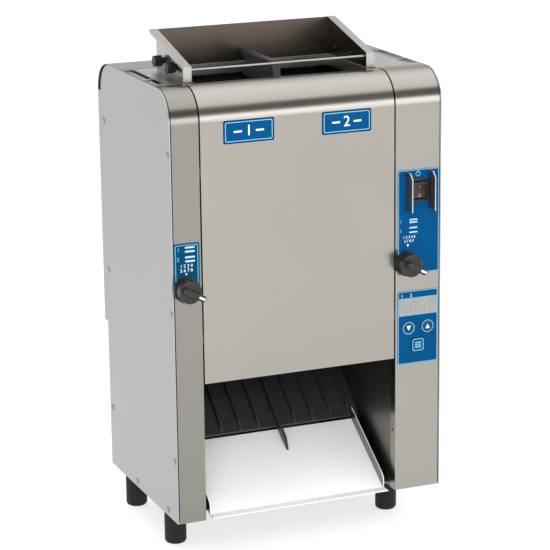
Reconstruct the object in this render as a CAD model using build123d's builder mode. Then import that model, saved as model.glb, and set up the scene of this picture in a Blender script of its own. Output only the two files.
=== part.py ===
from build123d import *
import os
from math import asin, atan2, cos, degrees, pi, radians, sin, tan

os.makedirs("parts", exist_ok=True)

# A two-lane vertical contact toaster. X runs to the right, Y to the back and Z up.
# The origin is on the ground under the middle of the machine, and the front faces -Y.

# Housing
body_width = 366.0
body_depth = 256.0
body_height = 550.0
foot_height = 58.0
front_bend = 40.0
rear_bend = 36.0
sheet = 1.5
seam = 2.0
panel_gap = 1.2
fit_gap = 0.3
running_gap = 0.05
overrun = 5.0
left_column_width = 39.0
right_column_width = 65.0
outlet_height = 180.0
return_depth = 14.0

# Reach of the knobs in front and of the cord gland behind
knob_reach = 31.0
gland_reach = 12.0

# Planes that the pieces share
front_y = -(body_depth + gland_reach - knob_reach) / 2
rear_y = front_y + body_depth
middle_y = front_y + body_depth / 2
floor_z = foot_height
top_z = floor_z + body_height
side_x = body_width / 2
left_seam = -side_x + left_column_width
right_seam = side_x - right_column_width
chamber_left = left_seam - seam / 2 - sheet
chamber_right = right_seam + seam / 2 + sheet
chamber_middle = (chamber_left + chamber_right) / 2

pieces = []


def keep(builder, label):
    """Name a finished piece and put it on the list of pieces."""
    builder.part.label = label
    pieces.append(builder.part)


def body_outline(low_x, high_x, inset, mode=Mode.ADD):
    """The rounded side profile of the body, set in by a margin, from one X to another."""
    with BuildSketch(Plane.YZ.offset(low_x)) as outline:
        with Locations((middle_y, floor_z + body_height / 2)):
            Rectangle(body_depth - 2 * inset, body_height - 2 * inset)
        fillet(outline.vertices().group_by(Axis.Y)[-1].sort_by(Axis.X)[-1], rear_bend - inset)
        fillet(outline.vertices().group_by(Axis.Y)[-1].sort_by(Axis.X)[0], front_bend - inset)
    extrude(outline.sketch, amount=high_x - low_x, mode=mode)


def block(low, high, mode=Mode.ADD):
    """A block between two opposite corners."""
    with Locations(tuple((a + b) / 2 for a, b in zip(low, high))):
        Box(*(b - a for a, b in zip(low, high)), mode=mode)


def across(x, y, z):
    """A plane that faces +X, with Y to its right and Z up."""
    return Plane(origin=(x, y, z), x_dir=(0, 1, 0), z_dir=(1, 0, 0))


def facing(x, y, z):
    """A plane that faces the front, with X to its right and Z up."""
    return Plane(origin=(x, y, z), x_dir=(1, 0, 0), z_dir=(0, -1, 0))


def level(x, y, z):
    """A plane that faces up."""
    return Plane(origin=(x, y, z), x_dir=(1, 0, 0), z_dir=(0, 0, 1))


def bar(plane, radius, length, mode=Mode.ADD):
    """A round bar that starts on a plane and runs along its normal."""
    with BuildSketch(plane) as section:
        Circle(radius)
    extrude(section.sketch, amount=length, mode=mode)


def plate(low_x, high_x, points, mode=Mode.ADD):
    """A plate whose outline is drawn from the side, in Y and Z."""
    with BuildSketch(Plane.YZ.offset(low_x)) as section:
        with BuildLine():
            Polyline(*points, close=True)
        make_face()
    extrude(section.sketch, amount=high_x - low_x, mode=mode)


# Screws on the side panels
screw_head_radius = 4.2
screw_head_height = 1.4
screw_shank_radius = 2.0
screw_length = 5.0
screw_inset_front = 8.5
screw_inset_rear = 7.0
screw_heights = (81.0, 272.6, 473.0)
pan_screw_height = 7.0
pan_screw_depths = (38.0, 155.0)
screw_places = [(front_y + screw_inset_front, floor_z + height) for height in screw_heights]
screw_places += [(rear_y - screw_inset_rear, floor_z + height) for height in screw_heights]
screw_places += [(front_y + depth, floor_z + pan_screw_height) for depth in pan_screw_depths]


def screw_holes():
    """Holes for the side screws, cut right across."""
    for place_y, place_z in screw_places:
        bar(across(-side_x - overrun, place_y, place_z), screw_shank_radius + running_gap,
            body_width + 2 * overrun, Mode.SUBTRACT)


# Side panels: sheets with the rounded outline of the body, and a ledge that carries the top panel
ledge_start = 54.0
ledge_end = 176.0
ledge_reach = 12.0
for label, side in (("left_side_panel", -1), ("right_side_panel", 1)):
    panel_x = sorted((side * side_x, side * (side_x - sheet)))
    ledge_x = sorted((side * side_x, side * (side_x - sheet - ledge_reach)))
    ledge_z = top_z - sheet - fit_gap
    with BuildPart() as side_panel:
        body_outline(panel_x[0], panel_x[1], 0)
        block((ledge_x[0], front_y + ledge_start, ledge_z - sheet), (ledge_x[1], front_y + ledge_end, ledge_z))
        screw_holes()
    keep(side_panel, label)

with BuildPart() as side_screws:
    for place_y, place_z in screw_places:
        for side in (-1, 1):
            bar(across(side * side_x, place_y, place_z), screw_head_radius, side * screw_head_height)
            bar(across(side * side_x, place_y, place_z), screw_shank_radius, -side * screw_length)
    chamfer(side_screws.edges().filter_by(GeomType.CIRCLE).group_by(Axis.X)[0], screw_head_height / 2)
    chamfer(side_screws.edges().filter_by(GeomType.CIRCLE).group_by(Axis.X)[-1], screw_head_height / 2)
keep(side_screws, "side_screws")

# Skins that rise up the front and bend back over the top
skin_ledge = 8.0
skin_end_y = front_y + front_bend + skin_ledge


def bent_front(low_x, high_x, low_z):
    """A front skin with a return along both sides and the curved top."""
    body_outline(low_x, high_x, 0)
    body_outline(low_x + sheet, high_x - sheet, sheet, Mode.SUBTRACT)
    body_outline(low_x, high_x, return_depth, Mode.SUBTRACT)
    block((low_x, skin_end_y, floor_z), (high_x, rear_y, top_z), Mode.SUBTRACT)
    block((low_x, front_y + return_depth, floor_z), (high_x, rear_y, floor_z + return_depth),
          Mode.SUBTRACT)
    if low_z > floor_z:
        block((low_x, front_y, floor_z), (high_x, rear_y, low_z), Mode.SUBTRACT)


# Knobs, on the axis of their cam shafts
knob_height = 305.0
heel_knob_inset = 17.0
crown_knob_inset = 16.0
heel_knob_x = -side_x + heel_knob_inset
crown_knob_x = right_seam + crown_knob_inset
knob_z = floor_z + knob_height
knob_shaft_radius = 4.0

# Upper control plate with the power switch
plate_thickness = 0.5
upper_plate_margin = 4.0
upper_plate_width = 58.0
upper_plate_drop = 15.0
upper_plate_height = 136.0
upper_plate_left = right_seam + upper_plate_margin
upper_plate_low = knob_height - upper_plate_drop
upper_plate_high = upper_plate_low + upper_plate_height
switch_offset = 28.0
switch_drop = 27.0
switch_x = upper_plate_left + switch_offset
switch_height = upper_plate_high - switch_drop
bezel_width = 28.0
bezel_height = 30.0
bezel_thickness = 2.0
switch_body_width = 24.5
switch_body_height = 26.5
switch_body_depth = 26.0
guard_spread = 32.0
guard_margin = 2.0
guard_height = 50.0
guard_reach = 18.5
guard_sheet = 1.2
guard_corner = 7.0
guard_high = upper_plate_high - guard_margin
guard_low = guard_high - guard_height

# Lower control plate with the display and the keys
lower_plate_width = 57.0
lower_plate_height = 97.5
lower_plate_gap = 22.5
lower_plate_left = upper_plate_left
lower_plate_right = lower_plate_left + lower_plate_width
lower_plate_high = upper_plate_low - lower_plate_gap
lower_plate_low = lower_plate_high - lower_plate_height
window_margin = 2.5
window_drop = 10.3
window_height = 21.5
window_high = lower_plate_high - window_drop
window_low = window_high - window_height
window_depth = 4.0
window_proud = 0.3
key_radius = 8.5
key_square = 17.5
key_proud = 1.4
key_depth = 5.0
key_stem_radius = 3.0
key_travel = 0.8
key_row_drop = 49.0
square_key_drop = 72.5
down_key_offset = 15.0
up_key_offset = 42.0
key_places = {
    "down_key": (lower_plate_left + down_key_offset, lower_plate_high - key_row_drop),
    "up_key": (lower_plate_left + up_key_offset, lower_plate_high - key_row_drop),
}
square_key_place = ((lower_plate_left + lower_plate_right) / 2, lower_plate_high - square_key_drop)
board_thickness = 1.6
board_depth = 10.0

# Left column: a narrow skin with the hole of the heel knob's shaft
with BuildPart() as left_column:
    bent_front(-side_x + sheet + panel_gap, left_seam - seam / 2, floor_z)
    screw_holes()
    bar(facing(heel_knob_x, front_y + overrun, knob_z), knob_shaft_radius + running_gap,
        2 * overrun, Mode.SUBTRACT)
keep(left_column, "left_column")


def switch_opening():
    """The cut-out of the power switch, through a plate on the front."""
    block((switch_x - switch_body_width / 2 - fit_gap, front_y - overrun,
           floor_z + switch_height - switch_body_height / 2 - fit_gap),
          (switch_x + switch_body_width / 2 + fit_gap, front_y + overrun,
           floor_z + switch_height + switch_body_height / 2 + fit_gap), Mode.SUBTRACT)
    for side in (-1, 1):
        ear_x = switch_x + side * guard_spread / 2
        block((ear_x - guard_sheet / 2 - fit_gap, front_y - overrun, floor_z + guard_low - fit_gap),
              (ear_x + guard_sheet / 2 + fit_gap, front_y + overrun, floor_z + guard_high + fit_gap),
              Mode.SUBTRACT)


def key_openings():
    """The cut-outs of the display and the keys, through a plate on the front."""
    block((lower_plate_left + window_margin, front_y - overrun, floor_z + window_low),
          (lower_plate_right - window_margin, front_y + overrun, floor_z + window_high), Mode.SUBTRACT)
    for key_x, key_height in key_places.values():
        bar(facing(key_x, front_y + overrun, floor_z + key_height), key_radius + fit_gap,
            2 * overrun, Mode.SUBTRACT)
    key_x, key_height = square_key_place
    reach = key_square / 2 + fit_gap
    block((key_x - reach, front_y - overrun, floor_z + key_height - reach),
          (key_x + reach, front_y + overrun, floor_z + key_height + reach), Mode.SUBTRACT)


# Right column: the wide skin that carries the controls
with BuildPart() as right_column:
    bent_front(right_seam + seam / 2, side_x - sheet - panel_gap, floor_z)
    screw_holes()
    bar(facing(crown_knob_x, front_y + overrun, knob_z), knob_shaft_radius + running_gap,
        2 * overrun, Mode.SUBTRACT)
    switch_opening()
    key_openings()
keep(right_column, "right_column")

# Control plates and marker plates lie on the skins
knob_relief = 5.0
plate_corner = 2.5


def face_plate(low_x, high_x, low_height, high_height):
    """A thin plate with rounded corners on the front face."""
    with BuildSketch(facing((low_x + high_x) / 2, front_y, floor_z + (low_height + high_height) / 2)) as face:
        RectangleRounded(high_x - low_x, high_height - low_height, plate_corner)
    extrude(face.sketch, amount=plate_thickness)


with BuildPart() as upper_plate:
    face_plate(upper_plate_left, upper_plate_left + upper_plate_width, upper_plate_low, upper_plate_high)
    switch_opening()
    bar(facing(crown_knob_x, front_y + overrun, knob_z), knob_relief, 2 * overrun, Mode.SUBTRACT)
keep(upper_plate, "upper_control_plate")

with BuildPart() as lower_plate:
    face_plate(lower_plate_left, lower_plate_right, lower_plate_low, lower_plate_high)
    key_openings()
keep(lower_plate, "lower_control_plate")

left_plate_margin = 2.0
left_plate_width = 34.0
left_plate_drop = 9.0
left_plate_height = 67.0
left_plate_left = -side_x + left_plate_margin
left_plate_low = knob_height - left_plate_drop
with BuildPart() as left_plate:
    face_plate(left_plate_left, left_plate_left + left_plate_width,
               left_plate_low, left_plate_low + left_plate_height)
    bar(facing(heel_knob_x, front_y + overrun, knob_z), knob_relief, 2 * overrun, Mode.SUBTRACT)
keep(left_plate, "left_dial_plate")

# Front cover: the wide skin between the columns, hemmed above the outlet
cover_left = left_seam + seam / 2
cover_right = right_seam - seam / 2
cover_low_z = floor_z + outlet_height
cover_lip = 12.0
pad_heights = (230.0, 440.0)
pad_height = 14.0
pad_start = 5.0
pad_length = 7.0
pad_reach = seam - fit_gap
with BuildPart() as front_cover:
    bent_front(cover_left, cover_right, cover_low_z)
    block((cover_left, front_y, cover_low_z), (cover_right, front_y + return_depth, cover_low_z + sheet))
    block((cover_left + sheet, skin_end_y - sheet, top_z - cover_lip), (cover_right - sheet, skin_end_y, top_z))
    for height in pad_heights:
        for pad_x in (cover_left - pad_reach, cover_right):
            block((pad_x, front_y + pad_start, floor_z + height),
                  (pad_x + pad_reach, front_y + pad_start + pad_length, floor_z + height + pad_height))
keep(front_cover, "front_cover")

marker_width = 67.0
marker_height = 29.0
marker_left_inset = 30.0
marker_right_inset = 32.0
marker_high = body_height - front_bend
marker_lefts = (cover_left + marker_left_inset, cover_right - marker_right_inset - marker_width)
with BuildPart() as cover_markers:
    for marker_left in marker_lefts:
        face_plate(marker_left, marker_left + marker_width, marker_high - marker_height, marker_high)
keep(cover_markers, "cover_marker_plates")

# Places of the conveyors, the platen, the throat and the feeder, from the front and from the floor
crown_depth = 49.0
conveyor_spacing = 126.0
platen_spacing = 66.0
heel_depth = crown_depth + conveyor_spacing
element_depth = crown_depth + platen_spacing
throat_inset = 17.5
throat_front_offset = 7.0
throat_rear_offset = 1.0
throat_left = chamber_left + throat_inset
throat_right = chamber_right - throat_inset
throat_front = crown_depth + throat_front_offset
throat_rear = heel_depth + throat_rear_offset
feeder_margin = 2.0
feeder_step = 1.0
feeder_left = throat_left - feeder_margin
feeder_right = throat_right + feeder_margin
feeder_front = throat_front + feeder_step
feeder_rear = throat_rear + feeder_step

# Rear cover: stands proud of the body's back and curves forward over the top
cover_proud = 12.0
rear_cover_low = 200.0
rear_cover_gap = 1.5
rear_cover_sheet = 1.2
rear_cover_extra_bend = 2.0
rear_cover_rim = 6.0
rear_cover_start = feeder_rear + sheet + rear_cover_gap
rear_cover_bend = rear_bend + rear_cover_extra_bend
louvre_width = 70.0
louvre_height = 5.0
louvre_pitch = 14.0
louvre_rows = 9
louvre_columns = 3
louvre_spread = 92.0
fan_height = 340.0
rear_cover_y = front_y + rear_cover_start
cover_back_y = rear_y + cover_proud
rear_low_z = floor_z + rear_cover_low
inner_x = side_x - sheet - fit_gap


def rear_cover_outline(half_width, inset, mode=Mode.ADD):
    """The side profile of the rear cover, set in by a margin."""
    low_y = rear_cover_y
    low_z = rear_low_z + inset
    with BuildSketch(Plane.YZ.offset(-half_width)) as outline:
        with Locations(((low_y + cover_back_y - inset) / 2, (low_z + top_z - inset) / 2)):
            Rectangle(cover_back_y - inset - low_y, top_z - inset - low_z)
        fillet(outline.vertices().group_by(Axis.Y)[-1].sort_by(Axis.X)[-1], rear_cover_bend - inset)
    extrude(outline.sketch, amount=2 * half_width, mode=mode)


with BuildPart() as rear_cover:
    rear_cover_outline(inner_x, 0)
    rear_cover_outline(inner_x, rear_cover_sheet, Mode.SUBTRACT)
    block((-inner_x, rear_cover_y, rear_low_z), (inner_x, rear_y, rear_low_z + rear_cover_sheet), Mode.SUBTRACT)
    with BuildPart(mode=Mode.PRIVATE) as rim:
        rear_cover_outline(side_x, 0)
        rear_cover_outline(side_x, rear_cover_sheet, Mode.SUBTRACT)
        block((-side_x, rear_cover_y, rear_low_z),
              (side_x, cover_back_y - rear_cover_bend + rear_cover_rim, top_z), Mode.SUBTRACT)
        block((-side_x, rear_cover_y, rear_low_z), (side_x, cover_back_y, top_z - rear_cover_bend),
              Mode.SUBTRACT)
    add(rim.part)
    for side in (-1, 1):
        wing = sorted((side * inner_x, side * side_x))
        edge = sorted((side * (side_x - rear_cover_sheet), side * side_x))
        block((wing[0], cover_back_y - rear_cover_sheet, rear_low_z),
              (wing[1], cover_back_y, top_z - rear_cover_bend))
        block((edge[0], rear_y + fit_gap, rear_low_z), (edge[1], cover_back_y, top_z - rear_cover_bend))
    with BuildSketch(facing(0, cover_back_y + overrun, floor_z + fan_height)) as louvres:
        with GridLocations(louvre_spread, louvre_pitch, louvre_columns, louvre_rows):
            SlotOverall(louvre_width, louvre_height)
    extrude(louvres.sketch, amount=2 * overrun, mode=Mode.SUBTRACT)
keep(rear_cover, "rear_cover")

# Rear panel: the body's own back, with the fan's opening and the cord gland's hole
fan_size = 80.0
fan_depth = 25.0
fan_duct_radius = 37.5
fan_z = floor_z + fan_height
gland_inset = 33.0
gland_x = side_x - gland_inset
gland_height = 45.0
gland_thread_radius = 8.0
vent_width = 44.0
vent_slot = 4.0
vent_pitch = 10.0
vent_rows = 6
vent_spread = 70.0
vent_middle = 110.0
with BuildPart() as rear_panel:
    block((-inner_x, rear_y - sheet, floor_z + sheet), (inner_x, rear_y, top_z - rear_bend))
    for side in (-1, 1):
        edge = sorted((side * inner_x, side * (inner_x - sheet)))
        block((edge[0], rear_y - return_depth, floor_z + sheet), (edge[1], rear_y, top_z - rear_bend))
    bar(facing(chamber_middle, rear_y + overrun, fan_z), fan_duct_radius, 2 * overrun, Mode.SUBTRACT)
    bar(facing(gland_x, rear_y + overrun, floor_z + gland_height), gland_thread_radius + running_gap,
        2 * overrun, Mode.SUBTRACT)
    with BuildSketch(facing(chamber_middle, rear_y + overrun, floor_z + vent_middle)) as vents:
        with GridLocations(vent_spread, vent_pitch, 2, vent_rows):
            SlotOverall(vent_width, vent_slot)
    extrude(vents.sketch, amount=2 * overrun, mode=Mode.SUBTRACT)
    screw_holes()
keep(rear_panel, "rear_panel")

gland_nut_radius = 12.0
gland_nut_length = 5.0
gland_bore_radius = 4.0
gland_dome_radius = 9.0
gland_round = 3.0
gland_inner_length = 10.0
with BuildPart() as cord_gland:
    with BuildSketch(facing(gland_x, rear_y + gland_nut_length, floor_z + gland_height)) as nut:
        RegularPolygon(gland_nut_radius, 6)
    extrude(nut.sketch, amount=gland_nut_length)
    bar(facing(gland_x, rear_y + gland_reach, floor_z + gland_height), gland_dome_radius,
        gland_reach - gland_nut_length)
    fillet(cord_gland.edges().filter_by(GeomType.CIRCLE).sort_by(Axis.Y)[-1], gland_round)
    bar(facing(gland_x, rear_y + gland_nut_length, floor_z + gland_height), gland_thread_radius,
        gland_nut_length + sheet + gland_inner_length)
    bar(facing(gland_x, rear_y + gland_reach + overrun, floor_z + gland_height), gland_bore_radius,
        gland_reach + sheet + gland_inner_length + 2 * overrun, Mode.SUBTRACT)
keep(cord_gland, "cord_gland")

# Top panel: carries the feeder, with the throat above the two lanes
throat_lip = 14.0
top_x = side_x - sheet - panel_gap
vent_edge = 3.5
vent_reach = 14.0
top_vents = ((64.0, 99.0), (103.0, 174.0))
with BuildPart() as top_panel:
    block((-top_x, skin_end_y + seam, top_z - sheet), (top_x, rear_cover_y - seam, top_z))
    block((cover_left, skin_end_y, top_z - sheet), (cover_right, front_y + throat_front, top_z), Mode.SUBTRACT)
    block((throat_left - sheet, front_y + throat_front, top_z - throat_lip),
          (throat_right + sheet, front_y + throat_rear + sheet, top_z))
    block((throat_left, skin_end_y, top_z - throat_lip - overrun),
          (throat_right, front_y + throat_rear, top_z + overrun), Mode.SUBTRACT)
    for side in (-1, 1):
        outer = side * (side_x - vent_edge)
        slot = sorted((outer, outer - side * vent_reach))
        for vent_start, vent_end in top_vents:
            block((slot[0], front_y + vent_start, top_z - overrun),
                  (slot[1], front_y + vent_end, top_z + overrun), Mode.SUBTRACT)
keep(top_panel, "top_panel")

# Slopes of the landing tray and of the chute behind it
slope = 33.0
tray_sheet = 1.2
tray_lip = 14.0
tray_low = 0.3
tray_end = 113.0
tray_inset = 11.5
tray_left = chamber_left + tray_inset
tray_right = chamber_right - tray_inset
chute_start = 116.0
chute_step = 2.0
chute_slope = 40.0
tray_drop = tray_sheet / cos(radians(slope))


def tray_z(depth):
    """Height of the tray's upper face at a depth behind the front."""
    return floor_z + tray_low + tray_sheet + (depth - tray_lip) * tan(radians(slope))


def chute_z(depth):
    """Height of the chute's upper face at a depth behind the front."""
    return tray_z(chute_start) + chute_step + (depth - chute_start) * tan(radians(chute_slope))


def on_slope(height, depths, rise=0.0):
    """Points of a slope at the given depths."""
    return [(front_y + depth, height(depth) + rise) for depth in depths]


# Base pan with a flange up each side, two gussets that carry the tray, and the rubber feet under it
pan_front = 30.0
pan_corner_front = return_depth + fit_gap
gusset_front = 40.0
gusset_rear = 105.0
gusset_inset = 8.0
foot_radius = 14.2
foot_round = 5.0
foot_boss_radius = 4.0
left_foot_inset = 28.0
right_foot_inset = 36.0
front_foot_depth = 88.0
rear_foot_inset = 16.0
foot_depths = (front_foot_depth, body_depth - rear_foot_inset)
foot_places = [(foot_x, front_y + depth) for foot_x in (left_foot_inset - side_x, side_x - right_foot_inset)
               for depth in foot_depths]
with BuildPart() as base_pan:
    block((-inner_x, front_y + pan_corner_front, floor_z), (inner_x, rear_y, floor_z + sheet))
    for side in (-1, 1):
        edge = sorted((side * inner_x, side * (inner_x - sheet)))
        block((edge[0], front_y + pan_corner_front, floor_z),
              (edge[1], rear_y - return_depth - fit_gap, floor_z + return_depth))
    block((chamber_left, front_y, floor_z), (chamber_right, front_y + pan_front, floor_z + sheet), Mode.SUBTRACT)
    for gusset_x in (tray_left + gusset_inset, tray_right - gusset_inset - sheet):
        plate(gusset_x, gusset_x + sheet,
              [(front_y + gusset_front, floor_z), (front_y + gusset_rear, floor_z)]
              + on_slope(tray_z, (gusset_rear, gusset_front), -tray_drop - fit_gap))
    for foot_place in foot_places:
        bar(level(*foot_place, floor_z), foot_boss_radius + running_gap, sheet, Mode.SUBTRACT)
    screw_holes()
keep(base_pan, "base_pan")

with BuildPart() as rubber_feet:
    for foot_place in foot_places:
        bar(level(*foot_place, 0), foot_radius, foot_height)
    fillet(rubber_feet.edges().group_by(Axis.Z)[0], foot_round)
    for foot_place in foot_places:
        bar(level(*foot_place, foot_height), foot_boss_radius, sheet)
keep(rubber_feet, "rubber_feet")

# Conveyors: one belt loop each side of the heated platen
drive_rise = 42.0
idler_drop = 50.0
drive_height = outlet_height + drive_rise
idler_height = body_height - idler_drop
belt_inner_radius = 23.0
belt_thickness = 2.0
belt_rib = 2.0
belt_rib_width = 5.0
belt_rib_pitch = 18.0
belt_inset = 19.0
belt_left = chamber_left + belt_inset
belt_right = chamber_right - belt_inset
drum_gap = 0.4
drum_overhang = 0.5
frame_sheet = 2.0
frame_gap = 0.5
frame_radius = 17.0
shaft_radius = 6.0
cross_bar_radius = 5.0
low_bar_rise = 68.0
high_bar_drop = 70.0
cross_bar_heights = (drive_height + low_bar_rise, idler_height - high_bar_drop)
bush_radius = 9.0
bush_length = 5.0
drive_z = floor_z + drive_height
idler_z = floor_z + idler_height
conveyor_y = {"crown": front_y + crown_depth, "heel": front_y + heel_depth}
frame_left = belt_left - drum_overhang - frame_gap
frame_right = belt_right + drum_overhang + frame_gap
drum_radius = belt_inner_radius - drum_gap

# Cams on the knob shafts, which push the conveyors by a pin
cam_radius = 12.0
cam_length = 22.0
cam_slope = 0.30
cam_pin_radius = 3.0
cam_pin_gap = 0.9
cam_pin_overlap = 2.0
cam_slot_reach = 8.0
cam_x = {"crown": crown_knob_x, "heel": heel_knob_x}
cam_face_y = {name: y - cam_pin_radius - cam_pin_gap for name, y in conveyor_y.items()}
cam_side = {"crown": 1, "heel": -1}

# Sprockets and the chain that turns both conveyors, one each way
sprocket_width = 4.0
sprocket_gap = 4.2
sprocket_x = chamber_right + sprocket_gap
chain_half = 2.2
chain_gap = 0.3
tooth_notch = 1.6
tooth_pitch = 6.35
shaft_end_gap = 1.0
motor_offset = 63.0
motor_height = 110.0
tension_offset = 41.0
tension_drop = 16.0
drive_pitch_radius = 16.0
motor_pitch_radius = 12.0
tension_pitch_radius = 10.0
motor_shaft_radius = 4.0
motor_shaft_length = 14.0
wheels = {
    "motor": (conveyor_y["crown"] + motor_offset, floor_z + motor_height, motor_pitch_radius),
    "crown": (conveyor_y["crown"], drive_z, drive_pitch_radius),
    "heel": (conveyor_y["heel"], drive_z, -drive_pitch_radius),
    "tension": (conveyor_y["heel"] + tension_offset, drive_z - tension_drop, tension_pitch_radius),
}


def sprocket(wheel, bore=0.0):
    """A toothed wheel that the chain runs round, outside its tips."""
    wheel_y, wheel_z, pitch = wheels[wheel]
    tip = abs(pitch) - chain_half - chain_gap
    teeth = round(2 * pi * abs(pitch) / tooth_pitch)
    with BuildSketch(across(sprocket_x, wheel_y, wheel_z)) as toothed:
        Circle(tip)
        with PolarLocations(tip, teeth):
            Circle(tooth_notch, mode=Mode.SUBTRACT)
        if bore:
            Circle(bore, mode=Mode.SUBTRACT)
    extrude(toothed.sketch, amount=sprocket_width)


def chain_loop(margin):
    """The closed path round the wheels, moved outwards by a margin, as arcs and straight runs."""
    route = list(wheels.values())
    headings = []
    for (y0, z0, r0), (y1, z1, r1) in zip(route, route[1:] + route[:1]):
        span = ((y1 - y0) ** 2 + (z1 - z0) ** 2) ** 0.5
        headings.append(degrees(atan2(z1 - z0, y1 - y0) + asin((r1 - r0) / span)))
    arrivals = headings[-1:] + headings[:-1]
    turns = []
    for (wheel_y, wheel_z, wheel_radius), arrive, leave in zip(route, arrivals, headings):
        turn = (leave - arrive) % 360
        if wheel_radius > 0:
            turn -= 360
        points = []
        for share in (0, 0.5, 1):
            angle = radians(arrive + share * turn + 90)
            reach = wheel_radius + margin
            points.append((wheel_y + reach * cos(angle), wheel_z + reach * sin(angle)))
        turns.append(points)
    for points, following in zip(turns, turns[1:] + turns[:1]):
        ThreePointArc(*points)
        Line(points[-1], following[0])


# Bulkheads: the walls of the chamber, which carry the shafts
bulkhead_inset = sheet + fit_gap
platen_rise = 20.0
platen_drop = 80.0
platen_low = outlet_height + platen_rise
platen_high = body_height - platen_drop
element_radius = 3.7
element_margin = 50.0
element_turn = 60.0
element_heights = ((platen_low + element_margin, platen_low + element_margin + element_turn),
                   (platen_high - element_margin - element_turn, platen_high - element_margin))
element_hole = element_radius + fit_gap
for side, label in ((-1, "left_bulkhead"), (1, "right_bulkhead")):
    wall = sorted((chamber_left, chamber_left - sheet)) if side < 0 else [chamber_right, chamber_right + sheet]
    with BuildPart() as bulkhead:
        body_outline(wall[0], wall[1], bulkhead_inset)
        for name, drive_y in conveyor_y.items():
            bar(across(wall[0] - overrun, drive_y, drive_z), bush_radius + running_gap,
                sheet + 2 * overrun, Mode.SUBTRACT)
            if cam_side[name] == side:
                block((wall[0] - overrun, drive_y - cam_slot_reach, knob_z - cam_slot_reach / 2),
                      (wall[1] + overrun, drive_y + cam_slot_reach, knob_z + cam_slot_reach / 2),
                      Mode.SUBTRACT)
        if side > 0:
            for pair in element_heights:
                for element_height in pair:
                    bar(across(wall[0] - overrun, front_y + element_depth, floor_z + element_height),
                        element_hole, sheet + 2 * overrun, Mode.SUBTRACT)
            bar(across(wall[1], *wheels["tension"][:2]), motor_shaft_radius,
                sprocket_x + sprocket_width + shaft_end_gap - wall[1])
    keep(bulkhead, label)

with BuildPart() as shaft_bushes:
    for drive_y in conveyor_y.values():
        for wall_x in (chamber_left - sheet, chamber_right):
            bush_x = wall_x + sheet / 2 - bush_length / 2
            bar(across(bush_x, drive_y, drive_z), bush_radius, bush_length)
            bar(across(bush_x, drive_y, drive_z), shaft_radius + running_gap, bush_length, Mode.SUBTRACT)
keep(shaft_bushes, "shaft_bushes")

with BuildPart() as drive_chain:
    with BuildSketch(Plane.YZ.offset(sprocket_x)):
        with BuildLine():
            chain_loop(chain_half)
        make_face()
        with BuildLine():
            chain_loop(-chain_half)
        make_face(mode=Mode.SUBTRACT)
    extrude(amount=sprocket_width)
keep(drive_chain, "drive_chain")

for name, centre_y in conveyor_y.items():
    # Belt: a ribbed band round both drums
    with BuildPart() as belt:
        with BuildSketch(across(belt_left, centre_y, (drive_z + idler_z) / 2)) as band:
            run = idler_z - drive_z
            SlotCenterToCenter(run, 2 * (belt_inner_radius + belt_thickness), rotation=90)
            rib_count = int(run / belt_rib_pitch)
            with GridLocations(2 * (belt_inner_radius + belt_thickness), belt_rib_pitch, 2, rib_count):
                Rectangle(2 * belt_rib, belt_rib_width)
            SlotCenterToCenter(run, 2 * belt_inner_radius, rotation=90, mode=Mode.SUBTRACT)
        extrude(band.sketch, amount=belt_right - belt_left)
    keep(belt, name + "_belt")

    # Frame: a side plate at each end, two cross bars and the pin that the cam pushes
    side = cam_side[name]
    with BuildPart() as frame:
        for plate_x in (frame_left - frame_sheet, frame_right):
            with BuildSketch(across(plate_x, centre_y, (drive_z + idler_z) / 2)) as cheek:
                SlotCenterToCenter(idler_z - drive_z, 2 * frame_radius, rotation=90)
                with Locations((0, (drive_z - idler_z) / 2), (0, (idler_z - drive_z) / 2)):
                    Circle(shaft_radius + running_gap, mode=Mode.SUBTRACT)
            extrude(cheek.sketch, amount=frame_sheet)
        for cross_height in cross_bar_heights:
            bar(across(frame_left, centre_y, floor_z + cross_height), cross_bar_radius,
                frame_right - frame_left)
        if side > 0:
            pin_start = frame_right + frame_sheet
            pin_end = cam_x[name] - cam_radius + cam_pin_overlap
        else:
            pin_start = cam_x[name] + cam_radius - cam_pin_overlap
            pin_end = frame_left - frame_sheet
        bar(across(pin_start, centre_y, knob_z), cam_pin_radius, pin_end - pin_start)
    keep(frame, name + "_conveyor_frame")

    # Drive drum on its shaft, which ends in a sprocket beyond the right bulkhead
    with BuildPart() as drive:
        bar(across(belt_left - drum_overhang, centre_y, drive_z), drum_radius,
            belt_right - belt_left + 2 * drum_overhang)
        shaft_start = chamber_left - sheet - bush_length / 2
        bar(across(shaft_start, centre_y, drive_z), shaft_radius,
            sprocket_x + sprocket_width + shaft_end_gap - shaft_start)
        sprocket(name)
    keep(drive, name + "_drive_drum")

    # Idler drum, held in the frame
    with BuildPart() as idler:
        bar(across(belt_left - drum_overhang, centre_y, idler_z), drum_radius,
            belt_right - belt_left + 2 * drum_overhang)
        idler_end = frame_sheet + frame_gap + shaft_end_gap
        bar(across(belt_left - drum_overhang - idler_end, centre_y, idler_z), shaft_radius,
            belt_right - belt_left + 2 * drum_overhang + 2 * idler_end)
    keep(idler, name + "_idler_drum")

    # Cam shaft: the knob's axle, with a slanted cam face at its end
    with BuildPart() as cam:
        face_y = cam_face_y[name]
        rise = cam_radius * cam_slope
        bar(facing(cam_x[name], face_y + rise, knob_z), cam_radius, cam_length + rise)
        plate(cam_x[name] - cam_radius, cam_x[name] + cam_radius,
              ((face_y - rise, knob_z - cam_radius), (face_y + rise, knob_z + cam_radius),
               (face_y - cam_length, knob_z + cam_radius), (face_y - cam_length, knob_z - cam_radius)),
              Mode.INTERSECT)
        bar(facing(cam_x[name], face_y - cam_length, knob_z), knob_shaft_radius,
            face_y - cam_length - front_y + knob_reach / 2)
    keep(cam, name + "_cam_shaft")

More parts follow.
